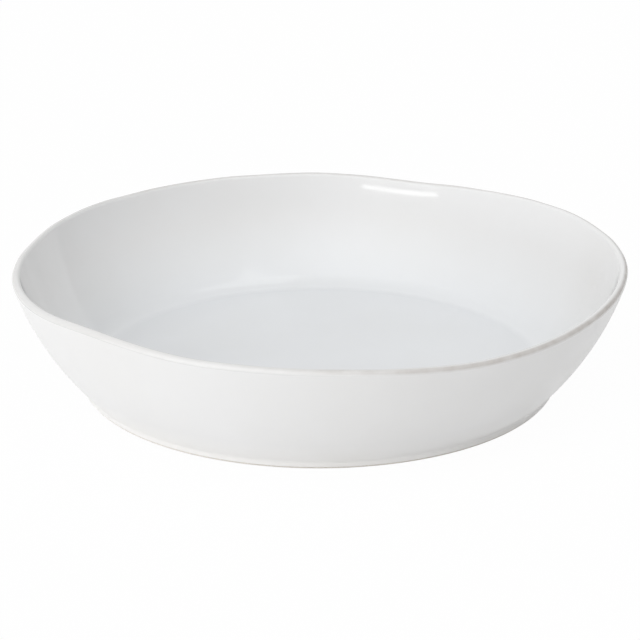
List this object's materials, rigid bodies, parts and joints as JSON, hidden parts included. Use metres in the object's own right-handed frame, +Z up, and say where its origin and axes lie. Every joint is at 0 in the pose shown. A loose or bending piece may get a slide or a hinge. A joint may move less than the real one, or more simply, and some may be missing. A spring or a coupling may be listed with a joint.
{
  "type": "salad bowl",
  "caption": "Wide, shallow white stoneware salad bowl with an uneven hand-shaped lip, a curved flaring wall and a low foot ring, for serving food.",
  "frame": {"origin": "centre of the foot ring on the plane that the bowl stands on", "axes": "+Z up along the axis of the foot, out of the mouth of the bowl; +X to the right and +Y away from the viewer in the picture"},
  "size_m": [0.3394, 0.3398, 0.0711],
  "materials": {
    "clay": "bare fired stoneware, matt",
    "glaze": "smooth white gloss glaze",
    "rim": "white gloss glaze run thin over the lip, with a faint warm edge"
  },
  "bodies": {
    "root": {"clay_body": "clay", "foot_ring": "clay", "inner_glaze": "glaze", "outer_glaze": "glaze", "rim_glaze": "rim", "base_glaze": "glaze"}
  },
  "joints": []
}
